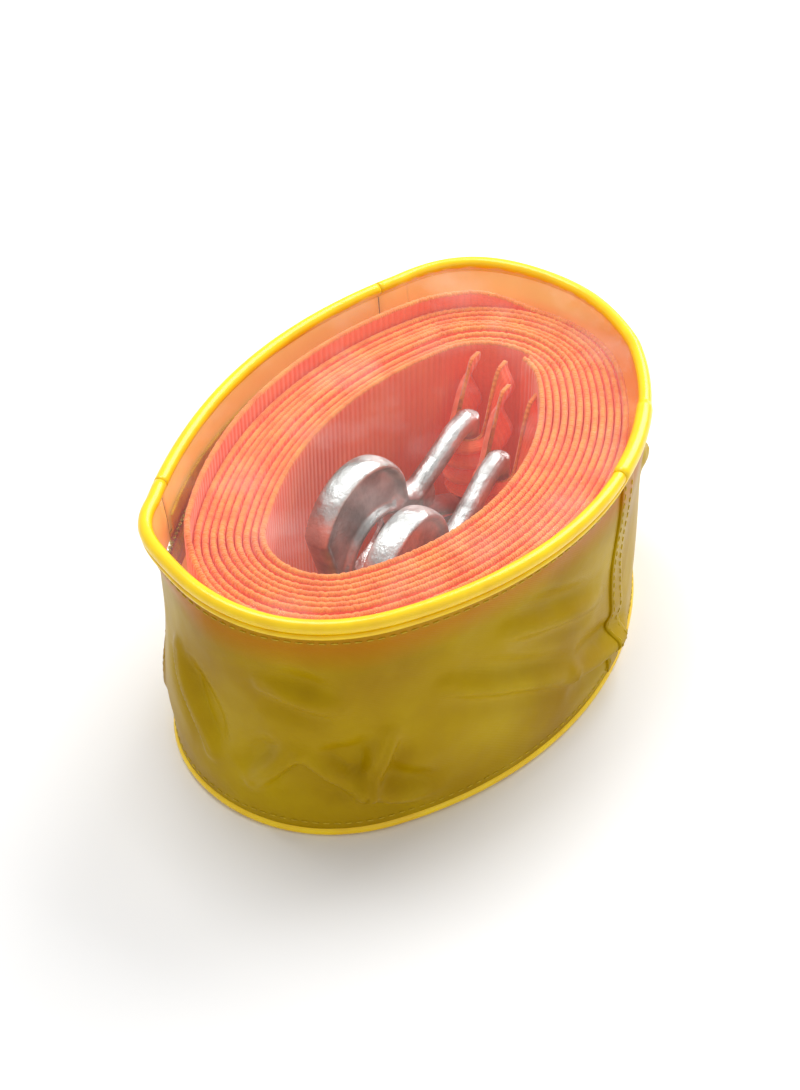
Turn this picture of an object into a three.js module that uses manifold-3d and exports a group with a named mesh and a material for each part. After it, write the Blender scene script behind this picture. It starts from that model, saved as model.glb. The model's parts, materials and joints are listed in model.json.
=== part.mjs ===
// A webbing tow strap with two latch hooks, folded double, wound on edge and packed in an oval
// zipped pouch with a clear top. Millimetres, +Z up. The origin is at the middle of the pouch's
// underside, +X runs along the pouch and +Y points to the zipped side.
import * as THREE from "three";
import { mergeVertices } from "three/addons/utils/BufferGeometryUtils.js";
import Module from "manifold-3d";

const wasm = await Module();
wasm.setup();

// Pouch. Its outline is four arcs that touch: two ends, the zipped side and the front side.
const HALF_LENGTH = 101;
const HALF_WIDTH = 67.5;
const END_RADIUS = 54;
const END_RISE = 2.5; // the end arcs' centres lie this far towards the zipped side
const PIPING_RADIUS = 1.8;
const HEIGHT = 88.5;
const PIPING_Z = HEIGHT - PIPING_RADIUS;
const WALL = { outer: 1.0, inner: 2.2, low: 3.9, high: 83.3 };
const BASE_THICK = 1.2;
const FILM = { inset: 5.1, low: 85.6, high: 86.2 };
const SEAM_NORMAL = -82.5; // where the wall's two ends are sewn together
const SLEEVE = { from: -84.7, to: -67.6 }; // normals that the piping's joining sleeve covers
const SEAM_HALF = 2.3; // degrees of the outline's normal

// Zip, along the arc of the zipped side. Angles are from the middle of that side.
const ZIP_Z = 62.5;
const ZIP_END = 31;
const FLAP_END = 23.4;
const FLAP_LOW = 67.4;
const ZIP_HALF = 4.7;
const SLIDER_ANGLE = 25.5;
const FLAP_AXIS_Y = 50;

// Strap: two strands side by side, wound together from the hooks outwards.
const WEB_THICK = 2.1;
const WEB_WIDTH = 75;
const WEB_LOW = 2.5;
const PITCH = 2.5;
const TURNS = 5.5;
const COIL_INSET = 4.9; // outer face of the outer turn, from the pouch's outline
const COIL_START = 160; // normal angle of the bight, the strap's outer end
const STEPS_PER_TURN = 36;

// Hook, in its own frame: the eye's crossbar lies along Y at the origin, the bowl lies towards -X
// and the thickness is along Z. Packed, the hook stands on edge with its back, +Y, upwards.
const HOOK_THICK = 10;
const EYE_THICK = 8;
const EYE_HALF = 20;
const BAR_RADIUS = 4;
const BOWL = { x: -62, y: 12, radius: 22.5 };
const THROAT = { x: -55, y: -4, radius: 13.5 };
const CLAW = { outer: 22, from: 175, to: 262 }; // the tip curls round the throat between these angles
const PIVOT = { x: -37, y: -9 };
const RIVET_RADIUS = 2.2;
const LUG_HALF = 4;
const LATCH = { thick: 1.2, ear: LUG_HALF + 2.3, length: 20.4, lean: 20 };
const LOOP = { ply: 2.7, reach: 8, half: 11.5 };
const HOOK_1 = { x: 47, y: 8, z: 42, yaw: -6 };
const HOOK_2 = { x: 38, y: -9, z: 37, yaw: 0 };

const rad = THREE.MathUtils.degToRad;
const END_X = HALF_LENGTH - END_RADIUS;

// Radius of a side arc that touches both end arcs, from its height over their centres.
const sideRadius = (d) => (END_RADIUS ** 2 - END_X ** 2 - d ** 2) / (2 * (END_RADIUS - d));
const BACK_RADIUS = sideRadius(HALF_WIDTH - END_RISE);
const FRONT_RADIUS = sideRadius(HALF_WIDTH + END_RISE);
const BACK_Y = HALF_WIDTH - BACK_RADIUS;
const FRONT_Y = FRONT_RADIUS - HALF_WIDTH;
const BACK_TURN = Math.atan2(END_RISE - BACK_Y, END_X);
const FRONT_TURN = Math.atan2(FRONT_Y - END_RISE, END_X);

// The point of the pouch's outline, moved inwards by inset, whose normal points at that angle.
function outline(degrees, inset) {
  const a = THREE.MathUtils.euclideanModulo(rad(degrees) + FRONT_TURN, 2 * Math.PI) - FRONT_TURN;
  let [cx, cy, r] = [END_X, END_RISE, END_RADIUS];
  if (a > BACK_TURN && a < Math.PI - BACK_TURN) [cx, cy, r] = [0, BACK_Y, BACK_RADIUS];
  else if (a >= Math.PI - BACK_TURN && a <= Math.PI + FRONT_TURN) cx = -END_X;
  else if (a > Math.PI + FRONT_TURN) [cx, cy, r] = [0, FRONT_Y, FRONT_RADIUS];
  return new THREE.Vector2(cx + (r - inset) * Math.cos(a), cy + (r - inset) * Math.sin(a));
}

// Points of the outline between two normal angles.
function stretch(from, to, inset, step = 6) {
  const n = Math.max(1, Math.round(Math.abs(to - from) / step));
  return Array.from({ length: n + 1 }, (_, i) => outline(from + ((to - from) * i) / n, inset));
}

const group = new THREE.Group();
const paint = (color, roughness, metalness = 0, more = {}) =>
  new THREE.MeshStandardMaterial({ color, roughness, metalness, ...more });
const YELLOW = paint(0xe8d214, 0.45);
const PIPING = paint(0xf5d400, 0.35);
const CLEAR = paint(0xffffff, 0.08, 0, { transparent: true, opacity: 0.3 });
const WEBBING = paint(0xff9468, 0.85);
const STEEL = paint(0xb9bfc1, 0.35, 0.9);
const NYLON = paint(0xd9c412, 0.6);
const ZIP_METAL = paint(0xc8a93c, 0.3, 0.8);

function add(name, geometry, material, parent = group) {
  const mesh = new THREE.Mesh(geometry, material);
  mesh.name = name;
  parent.add(mesh);
  return mesh;
}

// A flat shape raised from z = low to z = high.
function raise(shape, low, high) {
  const geometry = new THREE.ExtrudeGeometry(shape, {
    depth: high - low,
    bevelEnabled: false,
    curveSegments: 16,
  });
  return geometry.translate(0, 0, low);
}

// A strip of the outline between two normal angles and two insets.
function strip(from, to, outer, inner, low, high) {
  const points = [...stretch(from, to, outer), ...stretch(to, from, inner)];
  return raise(new THREE.Shape(points), low, high);
}

const ring = (radius, sides) =>
  Array.from({ length: sides }, (_, i) => {
    const a = (2 * Math.PI * i) / sides;
    return new THREE.Vector2(radius * Math.cos(a), radius * Math.sin(a));
  });

// A cord of that radius along the outline; with a bore it is a sleeve.
function cordAlong(from, to, radius, inset, z, bore = 0) {
  const points = stretch(from, to, inset, 7).map((p) => new THREE.Vector3(p.x, p.y, z));
  const shape = new THREE.Shape(ring(radius, 8));
  if (bore) shape.holes.push(new THREE.Path(ring(bore, 8).reverse()));
  return new THREE.ExtrudeGeometry(shape, {
    steps: points.length - 1,
    extrudePath: new THREE.CatmullRomCurve3(points),
  });
}

// Booleans.
function solid(geometry) {
  const bare = (geometry.index ? geometry.toNonIndexed() : geometry.clone())
    .deleteAttribute("normal")
    .deleteAttribute("uv");
  const merged = mergeVertices(bare, 1e-4);
  return new wasm.Manifold(
    new wasm.Mesh({
      numProp: 3,
      vertProperties: merged.attributes.position.array,
      triVerts: new Uint32Array(merged.index.array),
    }),
  );
}

function geometryOf(manifold) {
  const mesh = manifold.getMesh();
  return new THREE.BufferGeometry()
    .setAttribute("position", new THREE.BufferAttribute(mesh.vertProperties, 3))
    .setIndex(new THREE.BufferAttribute(mesh.triVerts, 1));
}

const joined = (...parts) => geometryOf(parts.map(solid).reduce((a, b) => a.add(b)));
const without = (base, ...cuts) =>
  geometryOf(cuts.map(solid).reduce((a, b) => a.subtract(b), solid(base)));

// An upright cylinder.
function post(radius, low, high, x, y, sides = 16) {
  return new THREE.CylinderGeometry(radius, radius, high - low, sides)
    .rotateX(Math.PI / 2)
    .translate(x, y, (low + high) / 2);
}

// The pouch's sewn shell.
function makePouch() {
  const base = new THREE.Shape(stretch(0, 354, 2 * PIPING_RADIUS + 0.4));
  add("bottom_panel", raise(base, 0, BASE_THICK), YELLOW);
  add("bottom_piping", cordAlong(2, 361.5, 1.6, 1.7, 1.9), PIPING);
  const { outer, inner, low, high } = WALL;
  add("wall_front", strip(91 + ZIP_END, 360 + SEAM_NORMAL - 0.1, outer, inner, low, high), YELLOW);
  add("wall_end", strip(SEAM_NORMAL + 0.1, 89 - ZIP_END, outer, inner, low, high), YELLOW);
  const wallLow = strip(90 - ZIP_END, 90 + ZIP_END, outer, inner, low, ZIP_Z - ZIP_HALF - 0.3);
  add("wall_rear_lower", wallLow, YELLOW);
  for (const [side, from, to] of [
    ["right", 90 - ZIP_END, 89.6 - FLAP_END],
    ["left", 90.4 + FLAP_END, 90 + ZIP_END],
  ])
    add(`zip_end_patch_${side}`, strip(from, to, outer, inner, FLAP_LOW, high), YELLOW);
  const seam = [SEAM_NORMAL - SEAM_HALF, SEAM_NORMAL + SEAM_HALF];
  add("side_seam_strip", strip(...seam, 0.1, 0.7, low + 0.5, high - 0.5), YELLOW);
  const pipeFrom = 91 + FLAP_END;
  add("top_piping", cordAlong(pipeFrom, 449 - FLAP_END, PIPING_RADIUS, 1.8, PIPING_Z), PIPING);
  add("piping_sleeve", cordAlong(SLEEVE.from, SLEEVE.to, 2.9, 1.8, PIPING_Z, 2.4), YELLOW);
  const film = stretch(0, 354, FILM.inset).filter((p) => p.y < FLAP_AXIS_Y - 0.4);
  const edge = filmEdgeX(FLAP_AXIS_Y - 0.4);
  const start = film.findIndex((p) => p.x < 0 && p.y > 0);
  film.splice(start, 0, new THREE.Vector2(edge, FLAP_AXIS_Y - 0.4), new THREE.Vector2(-edge, FLAP_AXIS_Y - 0.4));
  add("window_film", raise(new THREE.Shape(film), FILM.low, FILM.high), CLEAR);
}

// Half the film's width where the flap's fold line crosses it.
function filmEdgeX(y) {
  return Math.sqrt((BACK_RADIUS - FILM.inset) ** 2 - (y - BACK_Y) ** 2);
}

// The zip's fixed half and the flap that it frees.
function makeZipAndFlap() {
  const low = ZIP_Z - ZIP_HALF;
  const high = ZIP_Z + ZIP_HALF;
  const fixed = [90 - ZIP_END + 0.5, 90 + ZIP_END - 0.5];
  const free = [90 - FLAP_END, 90 + FLAP_END];
  add("zip_tape_lower", strip(...fixed, 1.3, 1.9, low, ZIP_Z - 1.9), NYLON);
  add("zip_teeth_lower", strip(...fixed, 0.7, 2.5, ZIP_Z - 1.7, ZIP_Z - 0.5), ZIP_METAL);
  add("zip_teeth_upper", strip(...free, 0.7, 2.5, ZIP_Z + 0.5, ZIP_Z + 1.7), ZIP_METAL);
  add("zip_tape_upper", strip(...free, 1.3, 1.9, ZIP_Z + 1.9, high - 0.1), NYLON);
  for (const [side, at] of [["right", 90 - ZIP_END + 0.9], ["left", 90 + ZIP_END - 0.9]])
    add(`zip_stop_${side}`, strip(at - 0.3, at + 0.3, 0.5, 2.7, ZIP_Z - 0.3, ZIP_Z + 2.4), ZIP_METAL);
  add("rear_band", strip(...free, WALL.outer, WALL.inner, FLAP_LOW, WALL.high), YELLOW);
  const rim = [90 - FLAP_END + 0.3, 90 + FLAP_END - 0.3];
  add("top_piping_rear", cordAlong(...rim, PIPING_RADIUS, 1.8, PIPING_Z), PIPING);
  const y = FLAP_AXIS_Y + 0.4;
  const turn = THREE.MathUtils.radToDeg(Math.asin(filmEdgeX(y) / (BACK_RADIUS - FILM.inset)));
  const flapFilm = new THREE.Shape(stretch(90 - turn, 90 + turn, FILM.inset));
  add("window_film_rear", raise(flapFilm, FILM.low, FILM.high), CLEAR);
}

// The zip's slider, in a frame with x along the zip, y outwards and the chain's middle at the origin.
function makeSlider() {
  const frame = new THREE.Group();
  const at = outline(90 - SLIDER_ANGLE, 1.6);
  frame.position.set(at.x, at.y, ZIP_Z);
  frame.rotation.z = -rad(SLIDER_ANGLE);
  group.add(frame);
  const block = (x, y, z, sx, sy, sz) => new THREE.BoxGeometry(sx, sy, sz).translate(x, y, z);
  const BAIL_Y = 5.4;
  const BAIL_Z = 1.2;
  const body = joined(
    block(0, 1.9, 0, 9, 1.1, 7.6),
    block(0, -1.9, 0, 9, 1.1, 7.6),
    block(2.8, 0, 0, 3, 4, 0.5),
    block(0, BAIL_Y, BAIL_Z, 8, 1.2, 1.2),
    block(-3.5, 3.9, BAIL_Z, 1, 4, 1.2),
    block(3.5, 3.9, BAIL_Z, 1, 4, 1.2),
  );
  add("zip_slider", body, ZIP_METAL, frame);
  const eyelet = new THREE.TorusGeometry(2.0, 0.6, 8, 20).rotateY(Math.PI / 2).translate(0, BAIL_Y, BAIL_Z);
  const tab = new THREE.Shape();
  tab.moveTo(-1.2, 0);
  tab.lineTo(1.2, 0);
  tab.lineTo(3.2, -5);
  tab.lineTo(3.2, -18);
  tab.absarc(0, -18, 3.2, 0, -Math.PI, true);
  tab.lineTo(-3.2, -5);
  const plate = new THREE.ExtrudeGeometry(tab, { depth: 1.2, bevelEnabled: false, curveSegments: 8 })
    .rotateX(Math.PI / 2)
    .translate(0, BAIL_Y + 0.6, BAIL_Z - 1.8);
  add("zip_pull_tab", joined(eyelet, plate), ZIP_METAL, frame);
}

// The strap: both strands from the hooks out to the bight as one closed outline.
function makeStrap() {
  const count = TURNS * STEPS_PER_TURN;
  const at = (i, layer, depth) => {
    const turns = i / STEPS_PER_TURN;
    return outline(COIL_START + 360 * turns, COIL_INSET + PITCH * (2 * turns + layer) + depth);
  };
  const line = (layer, depth) =>
    Array.from({ length: count + 1 }, (_, i) => at(i, layer, depth));
  const outerStrand = { out: line(0, 0), in: line(0, WEB_THICK) };
  const innerStrand = { out: line(1, 0), in: line(1, WEB_THICK) };
  const points = [
    ...outerStrand.out.reverse(),
    ...innerStrand.in,
    ...innerStrand.out.reverse(),
    ...outerStrand.in,
  ];
  add("strap_webbing", raise(new THREE.Shape(points), WEB_LOW, WEB_LOW + WEB_WIDTH), WEBBING);
}

// The gathered end of the strap, sewn into a loop round a hook's upright crossbar.
function makeEndLoop(name, place) {
  const inner = BAR_RADIUS + 1;
  const outer = inner + LOOP.ply;
  const shape = new THREE.Shape();
  shape.moveTo(LOOP.reach, -outer);
  shape.lineTo(LOOP.reach, -inner);
  shape.absarc(0, 0, inner, -Math.PI / 2, Math.PI / 2, true);
  shape.lineTo(LOOP.reach, inner);
  shape.lineTo(LOOP.reach, outer);
  shape.absarc(0, 0, outer, Math.PI / 2, -Math.PI / 2, false);
  add(name, raise(shape, -LOOP.half, LOOP.half).translate(place.x, place.y, place.z), WEBBING);
}

const disc = (x, y, radius, half) => post(radius, -half, half, x, y, 32);

// The forged hook: eye with its crossbar, neck, bowl, claw and the lug that holds the latch.
function hookGeometry() {
  const half = HOOK_THICK / 2;
  const outlinePoints = [[-46, -6], [-32, -7], [-3, -EYE_HALF], [3, -EYE_HALF],
    [3, EYE_HALF], [-3, EYE_HALF], [-32, 7], [-46, 14]];
  const slotPoints = [[-22, -3], [-6, -14.5], [6, -15], [6, 15], [-6, 14.5], [-22, 3]];
  const shapeOf = (list) => new THREE.Shape(list.map(([x, y]) => new THREE.Vector2(x, y)));
  const eye = raise(shapeOf(outlinePoints), -EYE_THICK / 2, EYE_THICK / 2);
  const slot = raise(shapeOf(slotPoints), -EYE_THICK, EYE_THICK);
  const bar = new THREE.CylinderGeometry(BAR_RADIUS, BAR_RADIUS, 2 * (EYE_HALF - 2), 20);
  const clawShape = new THREE.Shape();
  clawShape.absarc(THROAT.x, THROAT.y, CLAW.outer, rad(CLAW.from), rad(CLAW.to), false);
  clawShape.absarc(THROAT.x, THROAT.y, THROAT.radius - 1, rad(CLAW.to), rad(CLAW.from), true);
  const middle = (CLAW.outer + THROAT.radius) / 2;
  const tip = disc(
    THROAT.x + middle * Math.cos(rad(CLAW.to)),
    THROAT.y + middle * Math.sin(rad(CLAW.to)),
    (CLAW.outer - THROAT.radius) / 2,
    half,
  );
  const forged = joined(
    without(eye, slot),
    disc(BOWL.x, BOWL.y, BOWL.radius, half),
    raise(clawShape, -half, half),
    tip,
    disc(PIVOT.x, PIVOT.y, 4.5, LUG_HALF),
  );
  const throat = disc(THROAT.x, THROAT.y, THROAT.radius, HOOK_THICK);
  const bore = disc(PIVOT.x, PIVOT.y, RIVET_RADIUS + 0.3, HOOK_THICK);
  return joined(without(forged, throat, bore), bar);
}

// The latch: a tongue across the bowl's mouth and two ears on the rivet. It shuts inside the claw.
function latchGeometry() {
  const { thick, ear, length, lean } = LATCH;
  const start = 5.4;
  const tongue = new THREE.BoxGeometry(length - start, thick, 2 * (ear + thick))
    .translate(-(length + start) / 2, 0, 0);
  const earShape = new THREE.Shape();
  earShape.absarc(0, 0, 4.2, -Math.PI / 2, Math.PI / 2, false);
  earShape.lineTo(-9, thick / 2);
  earShape.lineTo(-9, -thick / 2);
  const bore = disc(0, 0, RIVET_RADIUS + 0.3, HOOK_THICK);
  const upper = raise(earShape, ear, ear + thick);
  const lower = raise(earShape, -ear - thick, -ear);
  return without(joined(tongue, upper, lower), bore).rotateZ(rad(lean)).translate(PIVOT.x, PIVOT.y, 0);
}

function rivetGeometry() {
  const seat = LATCH.ear + LATCH.thick + 0.3;
  return joined(
    disc(PIVOT.x, PIVOT.y, RIVET_RADIUS, seat + 0.6),
    post(3.4, seat, seat + 1.3, PIVOT.x, PIVOT.y),
    post(3.4, -seat - 1.3, -seat, PIVOT.x, PIVOT.y),
  );
}

// The torsion spring on the rivet, between the lug and the upper ear.
function springGeometry() {
  const low = LUG_HALF + 0.3;
  const coil = new THREE.Shape(ring(3.7, 16));
  coil.holes.push(new THREE.Path(ring(2.7, 16).reverse()));
  return raise(coil, low, low + 1.6).translate(PIVOT.x, PIVOT.y, 0);
}

function makeHook(number, place) {
  const heading = new THREE.Group();
  heading.position.set(place.x, place.y, place.z);
  heading.rotation.z = rad(place.yaw);
  group.add(heading);
  const upright = new THREE.Group();
  upright.rotation.x = Math.PI / 2;
  heading.add(upright);
  add(`hook_${number}`, hookGeometry(), STEEL, upright);
  add(`latch_${number}`, latchGeometry(), STEEL, upright);
  add(`latch_rivet_${number}`, rivetGeometry(), STEEL, upright);
  add(`latch_spring_${number}`, springGeometry(), STEEL, upright);
  makeEndLoop(`end_loop_${number}`, place);
}

makePouch();
makeZipAndFlap();
makeSlider();
makeStrap();
makeHook(1, HOOK_1);
makeHook(2, HOOK_2);

export default group;
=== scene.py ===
"""Looks for a webbing tow strap with two hooks, wound on edge in an oval pouch with a clear top."""

import json
import math

import bmesh
import bpy
import numpy as np
from mathutils import Matrix, Vector


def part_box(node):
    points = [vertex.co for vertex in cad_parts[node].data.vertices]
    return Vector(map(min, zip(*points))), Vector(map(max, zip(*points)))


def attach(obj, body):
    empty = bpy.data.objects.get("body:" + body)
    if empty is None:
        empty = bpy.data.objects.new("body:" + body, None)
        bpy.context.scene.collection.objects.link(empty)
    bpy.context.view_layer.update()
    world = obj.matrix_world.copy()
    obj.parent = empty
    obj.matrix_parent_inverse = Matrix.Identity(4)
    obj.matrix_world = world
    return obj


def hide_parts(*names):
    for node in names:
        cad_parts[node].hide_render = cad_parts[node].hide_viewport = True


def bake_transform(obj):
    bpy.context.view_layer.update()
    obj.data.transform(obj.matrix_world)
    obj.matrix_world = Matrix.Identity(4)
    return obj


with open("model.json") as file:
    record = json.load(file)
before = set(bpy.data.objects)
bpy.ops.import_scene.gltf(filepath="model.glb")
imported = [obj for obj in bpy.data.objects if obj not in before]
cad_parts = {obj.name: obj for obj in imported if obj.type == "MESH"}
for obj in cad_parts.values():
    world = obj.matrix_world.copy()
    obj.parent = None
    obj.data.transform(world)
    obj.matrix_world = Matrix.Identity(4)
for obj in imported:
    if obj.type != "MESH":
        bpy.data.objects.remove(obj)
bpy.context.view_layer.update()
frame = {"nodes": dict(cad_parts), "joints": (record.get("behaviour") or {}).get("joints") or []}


def corners(node):
    """A node's lowest and highest corners in millimetres."""
    low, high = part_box(node)
    return np.array(low) * 1000, np.array(high) * 1000


# Driving sizes in millimetres. The oval is four arcs that touch, as in the CAD model.
HALF_LENGTH = 101.0
HALF_WIDTH = 67.5
END_RADIUS = 54.0
END_RISE = 2.5
PIPING_Z = 86.7
PIPING_RADIUS = 2.2
PIPING_INSET = 1.8
CLOTH = 0.8
WALL_INSET = 1.3
WALL_LOW = 2.6
WALL_HIGH = 84.9
FILM_Z = 86.3
ZIP_Z = 62.5
ZIP_END = 31.0
FLAP_END = 23.4
TAPE_BARE = 1.7
TAPE_WIDTH = 10.5
SEAM_NORMAL = -82.5
SLEEVE = (-84.7, -67.6)
WEB_THICK = 2.1
WEB_WIDTH = 75.0
WEB_LOW = 2.5
PITCH = 2.5
TURNS = 5.5
COIL_INSET = 4.9
COIL_START = 160.0
LEAN_FROM = 68.0  # above this height the wall leans out towards its rim

END_X = HALF_LENGTH - END_RADIUS


def side_radius(d):
    return (END_RADIUS**2 - END_X**2 - d**2) / (2 * (END_RADIUS - d))


BACK_RADIUS = side_radius(HALF_WIDTH - END_RISE)
FRONT_RADIUS = side_radius(HALF_WIDTH + END_RISE)
BACK_Y = HALF_WIDTH - BACK_RADIUS
FRONT_Y = FRONT_RADIUS - HALF_WIDTH
BACK_TURN = math.atan2(END_RISE - BACK_Y, END_X)
FRONT_TURN = math.atan2(FRONT_Y - END_RISE, END_X)


def outline(degrees, inset):
    """The oval's point, moved inwards by inset, whose normal points at that angle."""
    a = (math.radians(degrees) + FRONT_TURN) % (2 * math.pi) - FRONT_TURN
    cx, cy, r = END_X, END_RISE, END_RADIUS
    if BACK_TURN < a < math.pi - BACK_TURN:
        cx, cy, r = 0.0, BACK_Y, BACK_RADIUS
    elif math.pi - BACK_TURN <= a <= math.pi + FRONT_TURN:
        cx = -END_X
    elif a > math.pi + FRONT_TURN:
        cx, cy, r = 0.0, FRONT_Y, FRONT_RADIUS
    return np.array([cx + (r - inset) * math.cos(a), cy + (r - inset) * math.sin(a)])


def ease(x):
    x = np.clip(x, 0, 1)
    return x * x * (3 - 2 * x)


def bump(degrees, middle, width):
    """1 at the middle angle, falling to 0 over width degrees."""
    away = (degrees - middle + 180) % 360 - 180
    return math.exp(-((away / width) ** 2))


def lean(degrees):
    """How far the rim stands out from the oval, by its normal's angle."""
    return 5.2 * bump(degrees, 38, 26) + 3.6 * bump(degrees, 128, 16) - 2.2 * bump(degrees, -38, 22)


# Mesh helpers.
def mesh_object(name, points, faces, smooth=True):
    mesh = bpy.data.meshes.new(name)
    mesh.from_pydata([tuple(p) for p in np.asarray(points) / 1000], [], faces)
    mesh.polygons.foreach_set("use_smooth", [smooth and len(face) <= 4 for face in faces])
    mesh.update()
    obj = bpy.data.objects.new(name, mesh)
    bpy.context.scene.collection.objects.link(obj)
    return obj


def shell(name, grid, thickness, rim_slot=0, back_slot=0):
    """A closed thin sheet about a grid of points.

    thickness may vary along the second index. rim_slot and back_slot are the material slots of the
    sheet's edges and of its back.
    """
    nu, nv, _ = grid.shape
    along = np.gradient(grid, axis=0)
    across = np.gradient(grid, axis=1)
    normal = np.cross(along, across)
    normal /= np.maximum(np.linalg.norm(normal, axis=2, keepdims=True), 1e-9)
    pole = np.linalg.norm(normal[:, :1], axis=2, keepdims=True) < 0.5
    normal[:, :1] = np.where(pole, normal[:, 1:2], normal[:, :1])
    half = np.broadcast_to(np.asarray(thickness, float) / 2, (nv,))[None, :, None]
    points = np.concatenate([(grid + normal * half).reshape(-1, 3), (grid - normal * half).reshape(-1, 3)])
    count = nu * nv
    faces = []
    for i in range(nu - 1):
        for j in range(nv - 1):
            a, b = i * nv + j, (i + 1) * nv + j
            faces.append((a, b, b + 1, a + 1))
            faces.append((a + count, a + 1 + count, b + 1 + count, b + count))
    rim_start = len(faces)
    for i in range(nu - 1):
        for j, turned in ((0, False), (nv - 1, True)):
            a, b = i * nv + j, (i + 1) * nv + j
            quad = (a, a + count, b + count, b)
            faces.append(quad[::-1] if turned else quad)
    for j in range(nv - 1):
        for i, turned in ((0, True), (nu - 1, False)):
            a, b = i * nv + j, i * nv + j + 1
            quad = (a, a + count, b + count, b)
            faces.append(quad[::-1] if turned else quad)
    obj = mesh_object(name, points, faces)
    uv = obj.data.uv_layers.new(name="UVMap")
    length = np.concatenate([[0], np.cumsum(np.linalg.norm(np.diff(grid[:, nv // 2], axis=0), axis=1))])
    height = np.concatenate([[0], np.cumsum(np.linalg.norm(np.diff(grid[nu // 2], axis=0), axis=1))])
    loops = np.zeros(len(obj.data.loops), dtype=np.int32)
    obj.data.loops.foreach_get("vertex_index", loops)
    loops %= count
    uv.data.foreach_set("uv", np.stack([length[loops // nv], height[loops % nv]], axis=1).ravel() / 1000)
    for polygon in obj.data.polygons[rim_start:]:
        polygon.use_smooth = bool(rim_slot)
        polygon.material_index = rim_slot
    for polygon in obj.data.polygons[:rim_start]:
        if polygon.index % 2:
            polygon.material_index = back_slot
    if rim_slot:
        for polygon in obj.data.polygons[:rim_start]:
            if (polygon.index // 2) % (nv - 1) == nv - 2:
                polygon.material_index = rim_slot
    return obj


def tube(points, radius, sides=12, reference=None):
    """Points and faces of a closed round tube along a path; radius may be a list.

    Each ring is framed against reference, by default a direction that the path doesn't run along.
    """
    points = np.asarray(points, float)
    n = len(points)
    radii = np.broadcast_to(np.asarray(radius, float), (n,))
    tangent = np.gradient(points, axis=0)
    tangent /= np.linalg.norm(tangent, axis=1, keepdims=True)
    if reference is None:
        steep = abs(tangent[:, 2]).max() > 0.9
        reference = np.array([0.35, 0.94, 0.0] if steep else [0.0, 0.0, 1.0])
    side = np.cross(tangent, reference)
    side /= np.linalg.norm(side, axis=1, keepdims=True)
    up = np.cross(side, tangent)
    verts = []
    for i in range(n):
        for k in range(sides):
            a = 2 * math.pi * k / sides
            verts.append(points[i] + radii[i] * (math.cos(a) * side[i] + math.sin(a) * up[i]))
    faces = [
        (i * sides + k, i * sides + (k + 1) % sides, (i + 1) * sides + (k + 1) % sides, (i + 1) * sides + k)
        for i in range(n - 1)
        for k in range(sides)
    ]
    faces.append(tuple(range(sides))[::-1])
    faces.append(tuple((n - 1) * sides + k for k in range(sides)))
    return verts, faces


def gather(parts):
    """Joins lists of (points, faces) into one."""
    verts, faces = [], []
    for points, quads in parts:
        start = len(verts)
        verts.extend(points)
        faces.extend(tuple(start + k for k in q) for q in quads)
    return verts, faces


def refined(node, name, slot, body, finish, width=0.25):
    """A copy of a CAD node's shape with its edges bevelled by width, in millimetres."""
    mesh = frame["nodes"][node].data.copy()
    bm = bmesh.new()
    bm.from_mesh(mesh)
    bmesh.ops.remove_doubles(bm, verts=bm.verts, dist=1e-6)
    bmesh.ops.dissolve_limit(bm, angle_limit=0.02, verts=bm.verts, edges=bm.edges)
    bm.to_mesh(mesh)
    bm.free()
    obj = bpy.data.objects.new(name, mesh)
    bpy.context.scene.collection.objects.link(obj)
    bevel = obj.modifiers.new("Edge", "BEVEL")
    bevel.width = width / 1000
    bevel.segments = 2
    bevel.limit_method = "ANGLE"
    bevel.angle_limit = 0.6
    settle(obj)
    place(obj, body, slot, [node], finish)


def settle(obj):
    """Applies every modifier."""
    graph = bpy.context.evaluated_depsgraph_get()
    graph.update()
    mesh = bpy.data.meshes.new_from_object(obj.evaluated_get(graph))
    obj.modifiers.clear()
    obj.data = mesh


def place(obj, body, slot, nodes, *finishes):
    """Gives a piece its materials and its body, and hides the CAD nodes that it stands for; slot is not
    used.
    """
    if obj.data.materials:
        obj.data.materials.clear()
    for finish in finishes:
        obj.data.materials.append(finish)
    if body:
        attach(obj, body)
    if nodes:
        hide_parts(*nodes)


# Materials.
def linear(r, g, b):
    """A screen colour of 0 to 255 as a linear one with full alpha."""
    values = [c / 255 for c in (r, g, b)]
    return tuple(c / 12.92 if c < 0.04045 else ((c + 0.055) / 1.055) ** 2.4 for c in values) + (1.0,)


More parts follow.
